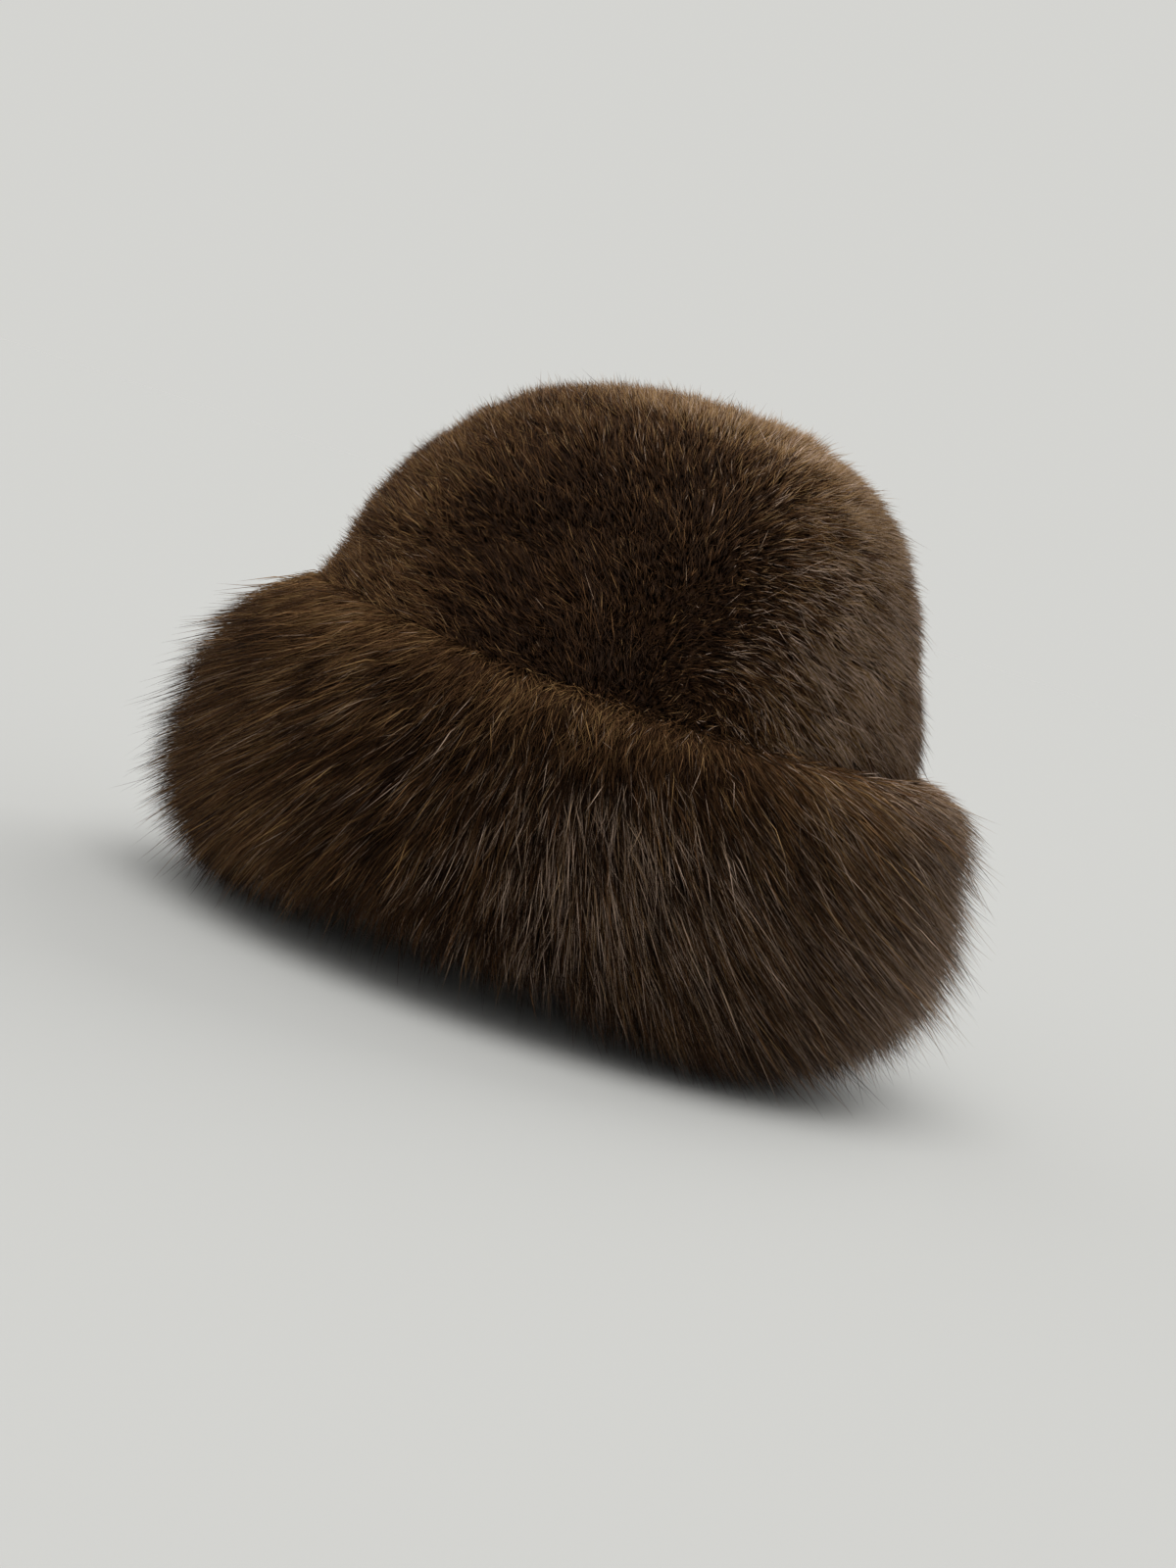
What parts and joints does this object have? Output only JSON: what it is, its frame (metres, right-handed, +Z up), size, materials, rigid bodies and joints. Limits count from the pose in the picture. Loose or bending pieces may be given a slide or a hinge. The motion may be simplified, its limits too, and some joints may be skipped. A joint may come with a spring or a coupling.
{
  "type": "fur hat",
  "caption": "Soft winter hat with a rounded short-pile crown closed by an oval top panel, over a deep flared brim of long shaggy fur.",
  "frame": {"origin": "middle of the hat's footprint, on the surface that it rests on", "axes": "+Z up through the crown; the front of the hat faces -Y and the wearer's left is +X"},
  "size_m": [0.2642, 0.3006, 0.2265],
  "materials": {
    "short_fur": "short dense pile",
    "long_fur": "long soft pile"
  },
  "bodies": {
    "root": {"crown_side": "short_fur", "crown_top": "short_fur", "brim": "long_fur"}
  },
  "joints": []
}
